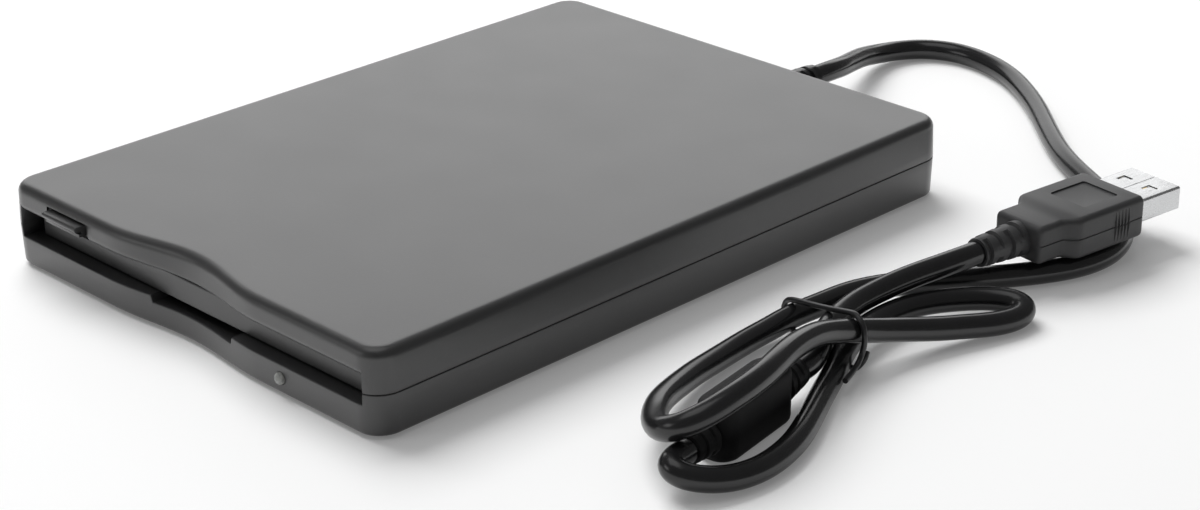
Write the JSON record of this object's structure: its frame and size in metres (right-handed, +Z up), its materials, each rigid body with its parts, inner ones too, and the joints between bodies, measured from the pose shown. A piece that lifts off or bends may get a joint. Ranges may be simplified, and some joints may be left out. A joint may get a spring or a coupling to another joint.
{
  "type": "external floppy disk drive",
  "caption": "Slim external floppy disk drive with dust door, eject button, full disk mechanism and a tied captive lead with plug.",
  "frame": {"origin": "middle of the drive's base, on the surface it stands on", "axes": "+Z up, -Y towards the user at the disk slot, +X to the right seen from the front"},
  "size_m": [0.1558, 0.2061, 0.016],
  "materials": {
    "case_grey": "fine moulded grain, satin",
    "door_black": "satin",
    "clear_lens": "clear",
    "rubber_black": "matte",
    "screw_steel": "bright",
    "zinc_sheet": "zinc plated",
    "motor_steel": "turned",
    "white_plastic": "satin",
    "brass": "gilt",
    "copper_wire": "enamelled",
    "dark_plastic": "satin",
    "head_ceramic": "polished",
    "arm_sheet": "satin",
    "board_green": "solder mask",
    "wire_red": "soft sheath",
    "cord_black": "smooth sheath",
    "tie_black": "coated wire",
    "block_black": "moulded vinyl",
    "plug_grey": "fine grain",
    "plug_steel": "plated"
  },
  "bodies": {
    "case": {"top_cover": "case_grey", "bottom_shell": "case_grey", "status_led": "clear_lens", "rubber_feet": "rubber_black", "case_screws": "screw_steel", "chassis": "zinc_sheet", "spindle_coils": "copper_wire", "spindle_bearing": "brass", "guide_rods": "screw_steel", "stepper_motor": "motor_steel", "main_board": "board_green", "board_chips": "dark_plastic", "switch_block": "white_plastic", "ribbon_cable": "white_plastic", "interface_board": "board_green", "interface_parts": "dark_plastic", "mech_screws": "screw_steel", "cord_wires": "wire_red", "cord_gland": "cord_black", "cord_lead": "cord_black", "cord_bundle": "cord_black", "cord_tail": "cord_black", "cord_block": "block_black", "twist_tie": "tie_black", "plug_grip": "plug_grey", "plug_shell": "plug_steel", "plug_tongue": "dark_plastic", "plug_contacts": "brass"},
    "door": {"door_flap": "door_black", "door_spring": "screw_steel"},
    "slide": {"eject_slide": "zinc_sheet", "eject_button": "case_grey", "slide_spring": "screw_steel"},
    "cradle": {"disk_cradle": "zinc_sheet"},
    "lever": {"shutter_lever": "zinc_sheet"},
    "spindle": {"spindle_rotor": "motor_steel", "spindle_hub": "white_plastic", "drive_pin": "brass"},
    "carriage": {"head_carriage": "dark_plastic", "lower_head": "head_ceramic"},
    "arm": {"head_arm": "arm_sheet", "upper_head": "head_ceramic"},
    "screw": {"lead_screw": "screw_steel"},
    "left_switch": {"left_plunger": "white_plastic"},
    "right_switch": {"right_plunger": "white_plastic"}
  },
  "joints": [
    {"name": "door_hinge", "type": "hinge", "parent": "case", "child": "door", "pos_m": [0, -0.0679, 0.01055], "axis": [1, 0, 0], "range_deg": [0, 88], "stiffness_Nm_per_rad": 0.0002, "springref_deg": -17.19},
    {"name": "eject_travel", "type": "slide", "parent": "case", "child": "slide", "axis": [0, 1, 0], "range_m": [-0.0035, 0]},
    {"name": "cradle_lift", "type": "slide", "parent": "case", "child": "cradle", "axis": [0, 0, 1], "range_m": [-0.0018, 0]},
    {"name": "lever_swing", "type": "hinge", "parent": "cradle", "child": "lever", "pos_m": [-0.034, 0.034, 0.0114], "axis": [0, 0, 1], "range_deg": [0, 65], "stiffness_Nm_per_rad": 0.001, "springref_deg": -11.46},
    {"name": "spindle_turn", "type": "hinge", "parent": "case", "child": "spindle", "pos_m": [0, -0.012, 0.0035], "axis": [0, 0, 1], "continuous": true},
    {"name": "carriage_travel", "type": "slide", "parent": "case", "child": "carriage", "axis": [0, 1, 0], "range_m": [-0.0148, 0]},
    {"name": "screw_turn", "type": "hinge", "parent": "case", "child": "screw", "pos_m": [0.019, 0.04, 0.0072], "axis": [0, 1, 0], "range_deg": [-1776.2, 0]},
    {"name": "arm_lower", "type": "hinge", "parent": "carriage", "child": "arm", "pos_m": [0, 0.0537, 0.0121], "axis": [1, 0, 0], "range_deg": [0, 8.9]},
    {"name": "left_switch_press", "type": "slide", "parent": "case", "child": "left_switch", "axis": [0, 0, 1], "range_m": [-0.0014, 0], "stiffness_N_per_m": 50, "springref_m": 0.0003},
    {"name": "right_switch_press", "type": "slide", "parent": "case", "child": "right_switch", "axis": [0, 0, 1], "range_m": [-0.0014, 0], "stiffness_N_per_m": 50, "springref_m": 0.0003}
  ],
  "couplings": [
    {"joint": "cradle_lift", "follows": "eject_travel", "ratio": 0.51428},
    {"joint": "arm_lower", "follows": "eject_travel", "rad_per_m": -44.38},
    {"joint": "screw_turn", "follows": "carriage_travel", "rad_per_m": 2094.4}
  ]
}
